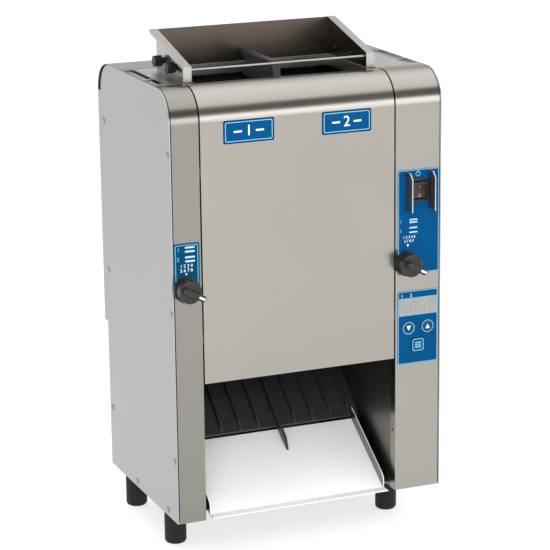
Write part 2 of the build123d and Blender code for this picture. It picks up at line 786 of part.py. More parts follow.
with BuildPart() as motor_sprocket:
    sprocket("motor")
    bar(across(sprocket_x, *wheels["motor"][:2]), motor_shaft_radius, motor_shaft_length)
keep(motor_sprocket, "motor_sprocket")

with BuildPart() as tension_sprocket:
    sprocket("tension", motor_shaft_radius + running_gap)
keep(tension_sprocket, "tension_sprocket")

# Gearmotor: a gearbox on three posts, with the motor behind it
gearbox_gap = 2.0
gearbox_width = 64.0
gearbox_height = 62.0
gearbox_length = 20.0
gearbox_round = 6.0
gearbox_rise = 8.0
motor_radius = 24.0
motor_length = 26.0
motor_fin_radius = 26.0
motor_fins = 4
motor_fin_share = 0.5
post_radius = 4.0
post_places = ((-22.0, -26.0), (22.0, -26.0), (0.0, 34.0))
gearbox_x = sprocket_x + sprocket_width + gearbox_gap
motor_y, motor_z = wheels["motor"][:2]
with BuildPart() as gearmotor:
    with BuildSketch(across(gearbox_x, motor_y, motor_z + gearbox_rise)) as gearbox:
        RectangleRounded(gearbox_width, gearbox_height, gearbox_round)
    extrude(gearbox.sketch, amount=gearbox_length)
    for post_y, post_z in post_places:
        bar(across(chamber_right + sheet, motor_y + post_y, motor_z + post_z), post_radius,
            gearbox_x - chamber_right - sheet)
    bar(across(gearbox_x + gearbox_length, motor_y, motor_z), motor_radius, motor_length)
    fin_pitch = motor_length / (motor_fins + 1)
    for fin in range(motor_fins):
        bar(across(gearbox_x + gearbox_length + fin_pitch * (fin + motor_fin_share), motor_y, motor_z),
            motor_fin_radius, fin_pitch * motor_fin_share)
    bar(across(gearbox_x, motor_y, motor_z), motor_shaft_radius + running_gap,
        motor_shaft_length - sprocket_width, Mode.SUBTRACT)
keep(gearmotor, "gearmotor")

# Heated platen: two halves with the sheathed elements between them
platen_half = 12.0
platen_skin = 8.0
platen_taper = 4.0
platen_y = front_y + element_depth
platen_left = chamber_left + fit_gap
platen_right = chamber_right - fit_gap
for side, label in ((-1, "platen_front_half"), (1, "platen_rear_half")):
    with BuildPart() as platen:
        outer = side * platen_half
        inner = side * (platen_half - platen_skin)
        plate(platen_left, platen_right,
              ((platen_y + inner, floor_z + platen_low), (platen_y + outer - side * platen_taper,
                                                          floor_z + platen_low),
               (platen_y + outer, floor_z + platen_low + platen_taper),
               (platen_y + outer, floor_z + platen_high - platen_taper),
               (platen_y + outer - side * platen_taper, floor_z + platen_high),
               (platen_y + inner, floor_z + platen_high)))
    keep(platen, label)

element_inset = 37.5
element_reach = 12.2
element_left = platen_left + element_inset
element_right = chamber_right + element_reach
with BuildPart() as heating_elements:
    for low_height, high_height in element_heights:
        bend = (high_height - low_height) / 2
        with BuildLine(facing(0, platen_y, floor_z)) as path:
            Line((element_right, low_height), (element_left, low_height))
            ThreePointArc((element_left, low_height), (element_left - bend, low_height + bend),
                          (element_left, high_height))
            Line((element_left, high_height), (element_right, high_height))
        with BuildSketch(across(element_right, platen_y, floor_z + low_height)) as section:
            Circle(element_radius)
        sweep(section.sketch, path=path.line)
keep(heating_elements, "heating_elements")

# Release sheet: hangs over the platen, one leaf against each face
release_sheet = 0.5
release_inset = 13.5
release_rise = 6.0
release_left = platen_left + release_inset
release_right = platen_right - release_inset
release_low = platen_low + release_rise
release_round = 3.0
release_half = platen_half + fit_gap + release_sheet
release_top = platen_high + fit_gap + release_sheet
with BuildPart() as release:
    with BuildSketch(across(release_left, platen_y, floor_z + (release_low + release_top) / 2)) as fold:
        Rectangle(2 * release_half, release_top - release_low)
        fillet(fold.vertices().group_by(Axis.Y)[-1], release_round)
        offset(amount=-release_sheet, mode=Mode.SUBTRACT)
        with Locations((0, (release_low - release_top + release_sheet) / 2)):
            Rectangle(2 * (platen_half + fit_gap), release_sheet, mode=Mode.SUBTRACT)
    extrude(fold.sketch, amount=release_right - release_left)
keep(release, "release_sheet")

# Lane divider: stands on the platen and parts the two lanes in the throat
divider_width = 10.0
divider_neck = 19.0
divider_head_inset = 6.0
divider_head_rise = 33.0
divider_head_height = 33.0
divider_head_front = throat_front + divider_head_inset
divider_head_rear = throat_rear - divider_head_inset
divider_head_low = idler_height + divider_head_rise
divider_top = divider_head_low + divider_head_height
divider_slant = 12.0
divider_round = 3.0
divider_low = release_top + fit_gap
with BuildPart() as lane_divider:
    plate(chamber_middle - divider_width / 2, chamber_middle + divider_width / 2,
          ((platen_y - divider_neck, floor_z + divider_low), (platen_y + divider_neck, floor_z + divider_low),
           (platen_y + divider_neck, floor_z + divider_head_low),
           (front_y + divider_head_rear, floor_z + divider_head_low),
           (front_y + divider_head_rear - divider_slant, floor_z + divider_top),
           (front_y + divider_head_front + divider_slant, floor_z + divider_top),
           (front_y + divider_head_front, floor_z + divider_head_low),
           (platen_y - divider_neck, floor_z + divider_head_low)))
    fillet(lane_divider.edges().filter_by(Axis.Y).group_by(Axis.Z)[-1], divider_round)
keep(lane_divider, "lane_divider")

# Feeder: sloping side plates with rails, and a back plate
feeder_front_height = 19.0
feeder_rear_height = 49.5
rail_width = 11.0
rail_edge = 4.0
rod_radius = 1.5
rod_inset = 6.0
rod_height = 14.0
rod_depth = feeder_front + rod_inset
rod_reach = 3.0
front_thumb_inset = 48.0
rear_thumb_inset = 25.0
thumb_depths = {"front": feeder_front + front_thumb_inset, "rear": feeder_rear - rear_thumb_inset}
thumb_heights = {"front": 11.5, "rear": 13.0}
thumb_radius = 7.0
thumb_length = 10.5
thumb_collar_radius = 4.0
thumb_collar_length = 3.0
thumb_shank_radius = 2.5
thumb_shank_reach = 3.0
thumb_grips = 6
thumb_grip_radius = 1.4
feeder_low_z = top_z + fit_gap
feeder_front_y = front_y + feeder_front
feeder_rear_y = front_y + feeder_rear + sheet


def rail_z(y, drop=0.0):
    """Height of the sloping top edge of the feeder's sides."""
    share = (y - feeder_front_y) / (feeder_rear_y - feeder_front_y)
    return top_z + feeder_front_height + share * (feeder_rear_height - feeder_front_height) - drop


def rail_strip(low_x, high_x, drop):
    """A strip along the sloping top edge."""
    plate(low_x, high_x, ((feeder_front_y, rail_z(feeder_front_y)), (feeder_rear_y, rail_z(feeder_rear_y)),
                          (feeder_rear_y, rail_z(feeder_rear_y, drop)),
                          (feeder_front_y, rail_z(feeder_front_y, drop))))


with BuildPart() as feeder_frame:
    for inner, side in ((feeder_left, -1), (feeder_right, 1)):
        wall = sorted((inner, inner + side * sheet))
        rail = sorted((inner, inner + side * rail_width))
        edge = sorted((inner + side * (rail_width - sheet), inner + side * rail_width))
        plate(wall[0], wall[1], ((feeder_front_y, feeder_low_z), (feeder_front_y, rail_z(feeder_front_y)),
                                 (feeder_rear_y, rail_z(feeder_rear_y)), (feeder_rear_y, feeder_low_z)))
        rail_strip(rail[0], rail[1], sheet)
        rail_strip(edge[0], edge[1], rail_edge)
        block((rail[0], feeder_front_y, feeder_low_z),
              (rail[1], feeder_front_y + sheet, rail_z(feeder_front_y, sheet / 2)))
        for place in thumb_depths:
            bar(across(wall[0] - overrun, front_y + thumb_depths[place], top_z + thumb_heights[place]),
                thumb_shank_radius + running_gap, sheet + 2 * overrun, Mode.SUBTRACT)
    block((feeder_left, feeder_rear_y - sheet, feeder_low_z),
          (feeder_right, feeder_rear_y, rail_z(feeder_rear_y - sheet)))
    bar(across(feeder_left - rod_reach, front_y + rod_depth, top_z + rod_height), rod_radius + running_gap,
        feeder_right - feeder_left + 2 * rod_reach, Mode.SUBTRACT)
keep(feeder_frame, "feeder_frame")

with BuildPart() as feeder_rod:
    bar(across(feeder_left - rod_reach, front_y + rod_depth, top_z + rod_height), rod_radius,
        feeder_right - feeder_left + 2 * rod_reach)
keep(feeder_rod, "feeder_rod")

for inner, side, hand in ((feeder_left, -1, "left"), (feeder_right, 1, "right")):
    for place in thumb_depths:
        centre = (front_y + thumb_depths[place], top_z + thumb_heights[place])
        face_x = inner + side * (sheet + fit_gap)
        with BuildPart() as thumb_screw:
            bar(across(face_x, *centre), thumb_shank_radius, -side * (sheet + thumb_shank_reach))
            bar(across(face_x, *centre), thumb_collar_radius, side * thumb_collar_length)
            with BuildSketch(across(face_x + side * thumb_collar_length, *centre)) as grip:
                Circle(thumb_radius)
                with PolarLocations(thumb_radius, thumb_grips):
                    Circle(thumb_grip_radius, mode=Mode.SUBTRACT)
            extrude(grip.sketch, amount=side * thumb_length)
        keep(thumb_screw, "feeder_screw_" + place + "_" + hand)

# Knobs: a skirt, a round body and a pointer bar
knob_gap = 0.3
skirt_radius = 16.5
skirt_length = 4.0
knob_radius = 14.5
knob_length = 15.0
pointer_width = 8.0
pointer_tail = 12.0
pointer_tip = 17.5
pointer_start = 8.0
pointer_angle = -28.0
pointer_round = 1.5
for name, knob_x in cam_x.items():
    with BuildPart() as knob:
        base_y = front_y - plate_thickness - knob_gap
        bar(facing(knob_x, base_y, knob_z), skirt_radius, skirt_length)
        bar(facing(knob_x, base_y, knob_z), knob_radius, skirt_length + knob_length)
        chamfer(knob.edges().filter_by(GeomType.CIRCLE).sort_by(Axis.Y)[0], pointer_round)
        with BuildSketch(facing(knob_x, base_y - pointer_start, knob_z)) as pointer:
            with Locations(Location((0, 0, 0), (0, 0, pointer_angle))):
                with Locations(((pointer_tip - pointer_tail) / 2, 0)):
                    SlotOverall(pointer_tip + pointer_tail, pointer_width)
        extrude(pointer.sketch, amount=front_y - knob_reach + pointer_start - base_y, dir=(0, 1, 0))
        fillet(knob.edges().group_by(Axis.Y)[0], pointer_round)
        bar(facing(knob_x, front_y, knob_z), knob_shaft_radius + running_gap,
            knob_reach / 2 + fit_gap, Mode.SUBTRACT)
    keep(knob, name + "_knob")

# Outlet chute: a ribbed slide under both lanes
chute_rear_offset = 45.0
chute_end = heel_depth + chute_rear_offset
chute_back_height = 190.0
rib_height = 8.0
rib_width = 3.0
rib_pitch = 26.0
lane_offset = 15.0
lane_rib_x = chamber_middle + lane_offset
ribs_left = int((lane_rib_x - platen_left) / rib_pitch)
ribs_right = int((platen_right - lane_rib_x) / rib_pitch)
chute_drop = sheet / cos(radians(chute_slope))
with BuildPart() as outlet_chute:
    plate(platen_left, platen_right,
          on_slope(chute_z, (chute_start, chute_end))
          + [(front_y + chute_end, floor_z + chute_back_height),
             (front_y + chute_end + sheet, floor_z + chute_back_height)]
          + on_slope(chute_z, (chute_end + sheet, chute_start), -chute_drop))
    for step in [step for step in range(-ribs_left, ribs_right + 1) if step]:
        rib_x = lane_rib_x + step * rib_pitch
        plate(rib_x - rib_width / 2, rib_x + rib_width / 2,
              on_slope(chute_z, (chute_start,))
              + on_slope(chute_z, (chute_start + rib_height, chute_end), rib_height)
              + on_slope(chute_z, (chute_end, chute_start), -chute_drop))
keep(outlet_chute, "outlet_chute")

# Outlet divider: a low fin that runs from the chute out over the tray
fin_front = 82.0
fin_nose = 6.0
fin_height = 12.0
fin_gap = 1.0
with BuildPart() as outlet_divider:
    plate(lane_rib_x - rib_width / 2, lane_rib_x + rib_width / 2,
          on_slope(tray_z, (fin_front, chute_start - fit_gap), fin_gap)
          + on_slope(chute_z, (chute_start - fit_gap, chute_end - fit_gap), fit_gap)
          + on_slope(chute_z, (chute_end - fit_gap, chute_start), fin_height)
          + on_slope(tray_z, (fin_front + fin_nose,), fin_height))
keep(outlet_divider, "outlet_divider")

# Landing tray: a sloping sheet with a flat front lip and a flange up each side
flange_height = 16.0
flange_corner = 5.0
with BuildPart() as landing_tray:
    plate(tray_left, tray_right,
          [(front_y, floor_z + tray_low), (front_y, floor_z + tray_low + tray_sheet)]
          + on_slope(tray_z, (tray_lip, tray_end))
          + on_slope(tray_z, (tray_end,), -tray_drop)
          + [(front_y + tray_lip, floor_z + tray_low)])
    for low_x in (tray_left, tray_right - tray_sheet):
        plate(low_x, low_x + tray_sheet,
              [(front_y + tray_lip - tray_sheet, floor_z + tray_low),
               (front_y + tray_lip - tray_sheet, floor_z + tray_low + flange_height - flange_corner),
               (front_y + tray_lip, floor_z + tray_low + flange_height)]
              + on_slope(tray_z, (tray_lip + flange_corner, tray_end), flange_height)
              + on_slope(tray_z, (tray_end,), -tray_drop)
              + [(front_y + tray_lip, floor_z + tray_low)])
keep(landing_tray, "landing_tray")

# Power switch: a bezel and housing with a rocker in its cavity, behind a guard
rocker_width = 21.5
rocker_radius = 11.9
rocker_pivot_depth = 4.0
rocker_crown = 7.5
rocker_valley = 5.2
rocker_back = 4.0
rocker_tilt = 10.0
rocker_gap = 0.4
cavity_depth = 13.0
switch_z = floor_z + switch_height
with BuildPart() as power_switch:
    bezel_y = front_y - plate_thickness
    with BuildSketch(facing(switch_x, bezel_y, switch_z)) as bezel:
        RectangleRounded(bezel_width, bezel_height, plate_corner)
    extrude(bezel.sketch, amount=bezel_thickness)
    block((switch_x - switch_body_width / 2, bezel_y, switch_z - switch_body_height / 2),
          (switch_x + switch_body_width / 2, bezel_y + switch_body_depth, switch_z + switch_body_height / 2))
    block((switch_x - rocker_width / 2 - rocker_gap, bezel_y - 2 * bezel_thickness,
           switch_z - rocker_radius - rocker_gap),
          (switch_x + rocker_width / 2 + rocker_gap, bezel_y + cavity_depth,
           switch_z + rocker_radius + rocker_gap), Mode.SUBTRACT)
keep(power_switch, "power_switch")

with BuildPart() as power_rocker:
    tilt = radians(rocker_tilt)
    rocker_plane = Plane(origin=(switch_x - rocker_width / 2, front_y + rocker_pivot_depth, switch_z),
                         x_dir=(0, cos(tilt), sin(tilt)), z_dir=(1, 0, 0))
    with BuildSketch(rocker_plane) as rocker:
        with BuildLine():
            Polyline((-rocker_crown, -rocker_radius), (-rocker_valley, 0), (-rocker_crown, rocker_radius),
                     (rocker_back, rocker_radius), (rocker_back, -rocker_radius), close=True)
        make_face()
        Circle(rocker_radius, mode=Mode.INTERSECT)
    extrude(rocker.sketch, amount=rocker_width)
keep(power_rocker, "power_rocker")

with BuildPart() as switch_guard:
    guard_back_y = front_y + sheet + fit_gap
    for side in (-1, 1):
        ear_x = switch_x + side * guard_spread / 2 - guard_sheet / 2
        plate(ear_x, ear_x + guard_sheet,
              ((guard_back_y, floor_z + guard_low), (front_y - guard_reach, floor_z + guard_low),
               (front_y - guard_reach, floor_z + guard_high - guard_corner),
               (front_y - guard_reach + guard_corner, floor_z + guard_high),
               (guard_back_y, floor_z + guard_high)))
    for low_height, high_height in ((guard_low, switch_height - switch_body_height / 2 - fit_gap),
                                    (switch_height + switch_body_height / 2 + fit_gap, guard_high)):
        block((switch_x - guard_spread / 2 - guard_sheet / 2, guard_back_y, floor_z + low_height),
              (switch_x + guard_spread / 2 + guard_sheet / 2, guard_back_y + guard_sheet,
               floor_z + high_height))
    for side in (-1, 1):
        inner_x0, inner_x1 = sorted((switch_x + side * (guard_spread / 2 + guard_sheet / 2),
                                     switch_x + side * (switch_body_width / 2 + fit_gap)))
        block((inner_x0, guard_back_y, floor_z + guard_low),
              (inner_x1, guard_back_y + guard_sheet, floor_z + guard_high))
keep(switch_guard, "switch_guard")

# Display, keys and the board behind them
board_y = front_y + board_depth
with BuildPart() as display_window:
    block((lower_plate_left + window_margin + running_gap, front_y - plate_thickness - window_proud,
           floor_z + window_low + running_gap),
          (lower_plate_right - window_margin - running_gap, front_y + window_depth,
           floor_z + window_high - running_gap))
keep(display_window, "display_window")

key_face_y = front_y - plate_thickness - key_proud
key_stem_end = board_y - key_travel - fit_gap
key_round = 0.6
for label, (key_x, key_height) in key_places.items():
    with BuildPart() as key:
        bar(facing(key_x, key_face_y + key_depth, floor_z + key_height), key_radius, key_depth)
        fillet(key.edges().sort_by(Axis.Y)[0], key_round)
        bar(facing(key_x, key_stem_end, floor_z + key_height), key_stem_radius,
            key_stem_end - key_face_y - key_depth)
    keep(key, label)

with BuildPart() as program_key:
    key_x, key_height = square_key_place
    with BuildSketch(facing(key_x, key_face_y + key_depth, floor_z + key_height)) as key_face:
        RectangleRounded(key_square, key_square, plate_corner)
    extrude(key_face.sketch, amount=key_depth)
    bar(facing(key_x, key_stem_end, floor_z + key_height), key_stem_radius,
        key_stem_end - key_face_y - key_depth)
keep(program_key, "program_key")

board_margin = 2.0
standoff_radius = 2.5
standoff_inset = 3.5
relay_size = (16.0, 14.0, 18.0)
relay_pitch = 22.0
relay_count = 3
display_margin = 4.0
with BuildPart() as control_board:
    board_left = lower_plate_left + board_margin
    board_right = lower_plate_right - board_margin
    board_low = floor_z + lower_plate_low + board_margin
    board_high = floor_z + lower_plate_high - board_margin
    block((board_left, board_y, board_low), (board_right, board_y + board_thickness, board_high))
    for stand_x in (board_left + standoff_inset, board_right - standoff_inset):
        for stand_z in (board_low + standoff_inset, board_high - standoff_inset):
            bar(facing(stand_x, board_y, stand_z), standoff_radius, board_y - front_y - sheet)
    block((board_left + display_margin, front_y + window_depth + fit_gap, floor_z + window_low + board_margin),
          (board_right - display_margin, board_y, floor_z + window_high - board_margin))
    for relay in range(relay_count):
        relay_z = board_low + standoff_inset + board_margin + relay * relay_pitch
        block((board_right - standoff_inset - relay_size[0], board_y + board_thickness, relay_z),
              (board_right - standoff_inset, board_y + board_thickness + relay_size[1],
               relay_z + relay_size[2]))
keep(control_board, "control_board")

# Cooling fan on the rear panel
fan_gap = 0.2
fan_hub_radius = 14.0
fan_hub_length = 4.0
fan_rotor_length = 18.0
fan_blades = 7
fan_blade_reach = 36.0
fan_blade_width = 16.0
fan_blade_thickness = 1.6
fan_blade_angle = 50.0
fan_strut = 4.0
fan_struts = 4
fan_corner = 5.0
fan_back_y = rear_y - sheet - fan_gap
with BuildPart() as fan_housing:
    with BuildSketch(facing(chamber_middle, fan_back_y, fan_z)) as fan_frame:
        RectangleRounded(fan_size, fan_size, fan_corner)
        Circle(fan_duct_radius, mode=Mode.SUBTRACT)
    extrude(fan_frame.sketch, amount=fan_depth)
    with BuildSketch(facing(chamber_middle, fan_back_y, fan_z)) as fan_spider:
        Circle(fan_hub_radius)
        with PolarLocations(fan_duct_radius / 2 + fan_hub_radius / 2, fan_struts):
            Rectangle(fan_duct_radius - fan_hub_radius + fan_strut, fan_strut)
    extrude(fan_spider.sketch, amount=fan_hub_length)
keep(fan_housing, "fan_housing")

with BuildPart() as fan_rotor:
    rotor_back_y = fan_back_y - fan_hub_length - fit_gap
    bar(facing(chamber_middle, rotor_back_y, fan_z), fan_hub_radius, fan_rotor_length)
    with Locations(facing(chamber_middle, rotor_back_y - fan_rotor_length / 2, fan_z)):
        with PolarLocations((fan_hub_radius + fan_blade_reach) / 2, fan_blades):
            Box(fan_blade_reach - fan_hub_radius + fan_blade_thickness, fan_blade_width,
                fan_blade_thickness, rotation=(fan_blade_angle, 0, 0))
keep(fan_rotor, "fan_rotor")

for piece in pieces:
    export_step(piece, "parts/" + piece.label + ".step")
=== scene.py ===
from math import cos, pi, radians, sin

import bmesh
import bpy
from mathutils import Matrix, Vector


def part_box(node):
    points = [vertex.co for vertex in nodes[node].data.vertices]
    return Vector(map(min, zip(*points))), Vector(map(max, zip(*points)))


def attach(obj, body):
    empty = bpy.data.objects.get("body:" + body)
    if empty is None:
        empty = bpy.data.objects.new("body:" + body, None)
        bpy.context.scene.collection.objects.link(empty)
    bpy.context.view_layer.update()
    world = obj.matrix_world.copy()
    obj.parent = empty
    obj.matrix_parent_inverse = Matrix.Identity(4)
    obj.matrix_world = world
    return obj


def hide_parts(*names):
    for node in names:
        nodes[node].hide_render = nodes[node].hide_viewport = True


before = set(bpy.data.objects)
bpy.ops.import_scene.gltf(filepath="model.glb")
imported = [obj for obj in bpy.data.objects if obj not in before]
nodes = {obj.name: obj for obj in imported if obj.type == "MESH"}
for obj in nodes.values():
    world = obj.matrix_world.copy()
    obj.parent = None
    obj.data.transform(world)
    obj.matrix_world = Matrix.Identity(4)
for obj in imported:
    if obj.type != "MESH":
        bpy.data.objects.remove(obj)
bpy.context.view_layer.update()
scene = bpy.context.scene

# Colours, linear
STEEL_WARM = (0.350, 0.334, 0.303)
STEEL_COOL = (0.395, 0.396, 0.400)
STEEL_TOP = (0.560, 0.545, 0.520)
STEEL_INNER = (0.230, 0.215, 0.202)
# Painted shade: the front's warm steel darkened for the left column
STEEL_LEFT_SHADE = (0.262, 0.249, 0.228)
STEEL_FEEDER = (0.430, 0.412, 0.390)
# Painted shade: a dark steel for the feeder's inner faces and back plate, where shade falls
# between its side plates
STEEL_FEEDER_SHADE = (0.105, 0.089, 0.076)
# Painted glare: the landing tray's steel made near-white and mostly non-metal, standing in for its
# brightly lit face
STEEL_TRAY_GLARE = (0.940, 0.940, 0.935)
SCREW_GREY = (0.400, 0.390, 0.370)
# Switch guard: a light steel on its front and top faces as painted highlight, and a dark steel on
# its ears' sideways faces as painted shade
GUARD_PAINTED_HIGHLIGHT = (0.620, 0.600, 0.580)
GUARD_PAINTED_SHADE = (0.185, 0.175, 0.172)
DRUM_GREY = (0.420, 0.410, 0.400)
PLATEN_GREY = (0.340, 0.330, 0.320)
ELEMENT_GREY = (0.160, 0.140, 0.130)
CHAIN_GREY = (0.220, 0.210, 0.200)
BRONZE = (0.500, 0.300, 0.130)
PLATE_BLUE = (0.000, 0.068, 0.200)
PLATE_EDGE = (0.000, 0.040, 0.118)
PLATE_TEAL = (0.000, 0.053, 0.128)
KEY_BLUE = (0.000, 0.060, 0.155)
LINE_BLUE = (0.190, 0.460, 0.620)
LINE_TEAL = (0.110, 0.360, 0.430)
PRINT_PALE = (0.420, 0.620, 0.700)
PRINT_GREY = (0.300, 0.280, 0.285)
PRINT_WHITE = (0.880, 0.900, 0.910)
PANE_GREY = (0.335, 0.335, 0.325)
SEGMENT_GREY = (0.265, 0.262, 0.255)
PLASTIC_BLACK = (0.015, 0.013, 0.012)
ROCKER_BLACK = (0.024, 0.014, 0.013)
COAT_BLACK = (0.034, 0.031, 0.032)
RUBBER_BLACK = (0.010, 0.010, 0.011)
BOARD_GREEN = (0.020, 0.100, 0.045)
BELT_BROWN = (0.075, 0.060, 0.046)
CLOTH_BROWN = (0.320, 0.190, 0.100)
MOTOR_GREY = (0.090, 0.100, 0.110)

# Grain of the materials
NOISE_LOW = 0.3
NOISE_HIGH = 0.7
BRUSHED_STRETCH = 0.006
BRUSHED_RELIEF = 0.00012
BRUSHED_ANISOTROPY = 0.35
CLOUD_SCALE = 6.0
PATCH_SCALE = 35.0
STAIN_SCALE = 22.0
FINE_RELIEF = 0.0001
FOLDED = {"strength": 0.10, "scale": 1100.0}
FILM = {"scale": 1800.0, "strength": 0.06, "contrast": 0.05, "gloss": 0.05}
LINE = {"scale": 1800.0, "strength": 0.05, "contrast": 0.03, "gloss": 0.2}
INK = {"scale": 1800.0, "strength": 0.05, "contrast": 0.02, "gloss": 0.2}
PANE = {"scale": 1500.0, "strength": 0.03, "contrast": 0.03, "gloss": 0.25}

# Which faces take painted shade: limits of a face's normal, and metres from the feeder's front
SQUARE_ON = 0.9
TURNED_FORWARD = -0.3
BACK_PLATE_START = 0.030

# Prints, metres: rectangles by width, height and corner radius, rings by outer and inner radius
PRINT_RISE = 0.00006
FIELD_RISE = PRINT_RISE * 0.8
FINE_CORNER = 3
TINY_CORNER = 2
BAR_ROUNDING = 0.45
MARKER_WIDTH = 0.067
MARKER_FIELD = (MARKER_WIDTH - 0.0066, 0.0224, 0.0012)
MARKER_NUMERAL = 0.019
MARKER_BAR = (0.011, 0.0022, 0.0010)
MARKER_BAR_X = 0.0145
POWER_RING = (0.0034, 0.0026)
POWER_STROKE = (0.0009, 0.0040, 0.0004)
POWER_DROP = 0.0058
POWER_LIFT = 0.0026
LOWER_NUMERAL = 0.0060
LOWER_NUMERAL_PLACES = (0.0060, 0.0190)
LOWER_NUMERAL_DROP = 0.0062
DISPLAY_DIGITS = 4
DIGIT_WIDTH = 0.0075
DIGIT_HEIGHT = 0.0130
SEGMENT_WIDTH = 0.0016
SEGMENT_SHARE = 0.92
SEGMENT_ROUNDING = 0.3
KEY_RING = (0.0084, 0.0074)
KEY_SIGN = 0.0062
PROGRAM_LINE_MARGINS = (0.0012, 0.0034)
PROGRAM_LINE_RADII = (0.0030, 0.0022)
PROGRAM_SQUARE = (0.0023, 0.0023, 0.0004)
PROGRAM_PITCH = 0.0030
POINTER_ANGLE = -28.0
POINTER_LINE = (0.0086, 0.0027, 0.0012)
POINTER_LINE_X = 0.0116
ROCKER_SHIFT = 0.0020
ROCKER_STROKE = (0.0010, 0.0040, 0.0004)
ROCKER_RING = (0.0019, 0.0011)

# Places on the rocker's two faces: Y, height over its middle, and lean in degrees
ROCKER_STROKE_PLACE = (-0.12144, 0.00385, 110.9)
ROCKER_RING_PLACE = (-0.11973, -0.00752, 89.1)

# Floor, sky and lamp
FLOOR_SIZE = 16.0
FLOOR_TONE = 0.42
FLOOR_ROUGHNESS = 0.9
FLOOR_GLOW = 0.66
SKY_SCALE = 3.0
SKY_SEAM = 0.15
KEY_PLACE = (-0.7, -2.6, 1.7)
KEY_TARGET = (0.0, 0.0, 0.3)
KEY_SIZE = (2.4, 1.6)
KEY_WATTS = 58.0

# Camera, at the photograph's viewing angle
CAMERA_PLACE = (-1.105561, -2.669042, 1.102383)
CAMERA_YAW = 0.393350
CAMERA_PITCH = 0.260050
CAMERA_ROLL = -0.012000
CAMERA_LENS = 150.26
CAMERA_SENSOR = 36.0


def shader_tree(name):
    """A new node material with its tree and its shader."""
    material = bpy.data.materials.new(name)
    material.use_nodes = True
    tree = material.node_tree
    return material, tree, tree.nodes["Principled BSDF"]


def maths(tree, operation, *values):
    """The result of a Math node, in which each value is a socket or a number."""
    node = tree.nodes.new("ShaderNodeMath")
    node.operation = operation
    for entry, value in zip(node.inputs, values):
        if isinstance(value, bpy.types.NodeSocket):
            tree.links.new(value, entry)
        else:
            entry.default_value = value
    return node.outputs[0]


def noise(tree, scale, stretch=(1.0, 1.0, 1.0), detail=3.0):
    """Noise in the object's own metres, stretched along its grain."""
    place = tree.nodes.new("ShaderNodeTexCoord")
    mapping = tree.nodes.new("ShaderNodeMapping")
    mapping.inputs["Scale"].default_value = stretch
    pattern = tree.nodes.new("ShaderNodeTexNoise")
    pattern.inputs["Scale"].default_value = scale
    pattern.inputs["Detail"].default_value = detail
    tree.links.new(place.outputs["Object"], mapping.inputs["Vector"])
    tree.links.new(mapping.outputs["Vector"], pattern.inputs["Vector"])
    return pattern.outputs["Fac"]


def spread(tree, value, low, high, start=NOISE_LOW, end=NOISE_HIGH):
    """A value mapped to a range."""
    node = tree.nodes.new("ShaderNodeMapRange")
    node.inputs["From Min"].default_value = start
    node.inputs["From Max"].default_value = end
    node.inputs["To Min"].default_value = low
    node.inputs["To Max"].default_value = high
    tree.links.new(value, node.inputs["Value"])
    return node.outputs["Result"]


def tint(tree, shader, value, colour, contrast):
    """A shader's colour, darker and lighter by a share as a value goes."""
    ramp = tree.nodes.new("ShaderNodeValToRGB")
    ends = ((NOISE_LOW, 1.0 - contrast), (NOISE_HIGH, 1.0 + contrast))
    for element, (position, share) in zip(ramp.color_ramp.elements, ends):
        element.position = position
        element.color = (*(min(1.0, channel * share) for channel in colour), 1.0)
    tree.links.new(value, ramp.inputs["Fac"])
    tree.links.new(ramp.outputs["Color"], shader.inputs["Base Color"])


def relief(tree, shader, value, strength, distance):
    """Relief on a shader from a value."""
    bump = tree.nodes.new("ShaderNodeBump")
    bump.inputs["Strength"].default_value = strength
    bump.inputs["Distance"].default_value = distance
    tree.links.new(value, bump.inputs["Height"])
    tree.links.new(bump.outputs["Normal"], shader.inputs["Normal"])


def brushed(name, colour, roughness, grain, contrast=0.02, strength=0.03, scale=2600.0,
            metallic=1.0):
    """Brushed sheet steel, with fine grain along one axis and faint clouds from handling."""
    material, tree, shader = shader_tree(name)
    stretch = tuple(BRUSHED_STRETCH if axis == grain else 1.0 for axis in "xyz")
    lines = noise(tree, scale, stretch, 2.0)
    clouds = spread(tree, noise(tree, CLOUD_SCALE), 0.0, 0.5)
    mixed = maths(tree, "MULTIPLY_ADD", lines, 0.5, clouds)
    tint(tree, shader, mixed, colour, contrast)
    tree.links.new(spread(tree, mixed, roughness - 0.02, roughness + 0.03),
                   shader.inputs["Roughness"])
    shader.inputs["Metallic"].default_value = metallic
    shader.inputs["Anisotropic"].default_value = BRUSHED_ANISOTROPY
    relief(tree, shader, lines, strength, BRUSHED_RELIEF)
    return material


def moulded(name, colour, roughness, scale=900.0, strength=0.15, contrast=0.12, gloss=0.5):
    """Moulded plastic, film, cloth or paint with a fine grain."""
    material, tree, shader = shader_tree(name)
    grain = noise(tree, scale, detail=2.0)
    patches = noise(tree, PATCH_SCALE, detail=4.0)
    tint(tree, shader, patches, colour, contrast)
    tree.links.new(spread(tree, patches, roughness - 0.05, roughness + 0.07),
                   shader.inputs["Roughness"])
    shader.inputs["Specular IOR Level"].default_value = gloss
    relief(tree, shader, grain, strength, FINE_RELIEF)
    return material


def cast(name, colour, roughness, metallic=1.0, scale=400.0, strength=0.2, contrast=0.1):
    """Turned, cast or heat-marked metal."""
    material, tree, shader = shader_tree(name)
    grain = noise(tree, scale)
    stains = noise(tree, STAIN_SCALE, detail=5.0)
    tint(tree, shader, stains, colour, contrast)
    tree.links.new(spread(tree, stains, roughness - 0.06, roughness + 0.08),
                   shader.inputs["Roughness"])
    shader.inputs["Metallic"].default_value = metallic
    relief(tree, shader, grain, strength, FINE_RELIEF)
    return material


